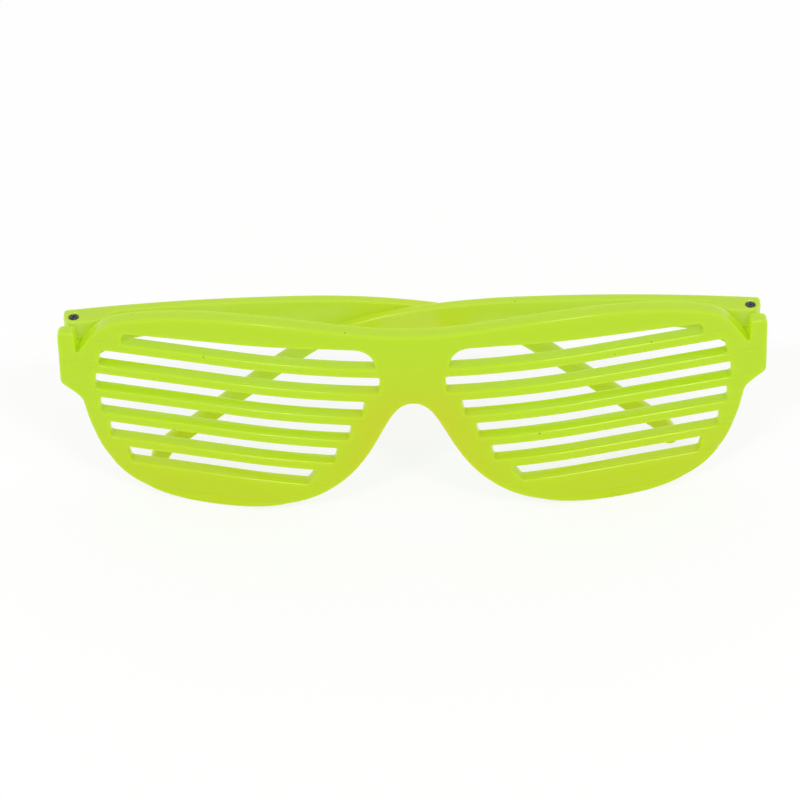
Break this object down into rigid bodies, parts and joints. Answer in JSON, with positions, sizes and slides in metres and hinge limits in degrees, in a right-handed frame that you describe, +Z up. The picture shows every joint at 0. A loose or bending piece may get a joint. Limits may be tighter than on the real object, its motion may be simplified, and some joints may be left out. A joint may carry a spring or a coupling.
{
  "type": "party glasses",
  "caption": "Slatted party glasses in bright yellow-green plastic, bowed front with slats in place of lenses, folded, with temples that open on screwed hinges.",
  "frame": {"origin": "top of the nose arch, in the middle of the bridge's thickness and width", "axes": "+X to the wearer's left, along the front; +Y from the front towards the wearer; +Z up as worn"},
  "size_m": [0.1452, 0.024, 0.0506],
  "materials": {
    "plastic": "glossy fluorescent yellow-green, slightly translucent",
    "screw": "satin black"
  },
  "bodies": {
    "front": {"front_frame": "plastic", "left_hinge_screw": "screw", "right_hinge_screw": "screw"},
    "left_temple": {"left_temple": "plastic"},
    "right_temple": {"right_temple": "plastic"}
  },
  "joints": [
    {"name": "left_temple_hinge", "type": "hinge", "parent": "front", "child": "left_temple", "pos_m": [0.069, 0.01579, 0.0046], "axis": [0, 0, -1], "range_deg": [0, 91]},
    {"name": "right_temple_hinge", "type": "hinge", "parent": "front", "child": "right_temple", "pos_m": [-0.069, 0.01579, 0.0046], "axis": [0, 0, 1], "range_deg": [0, 89]}
  ]
}
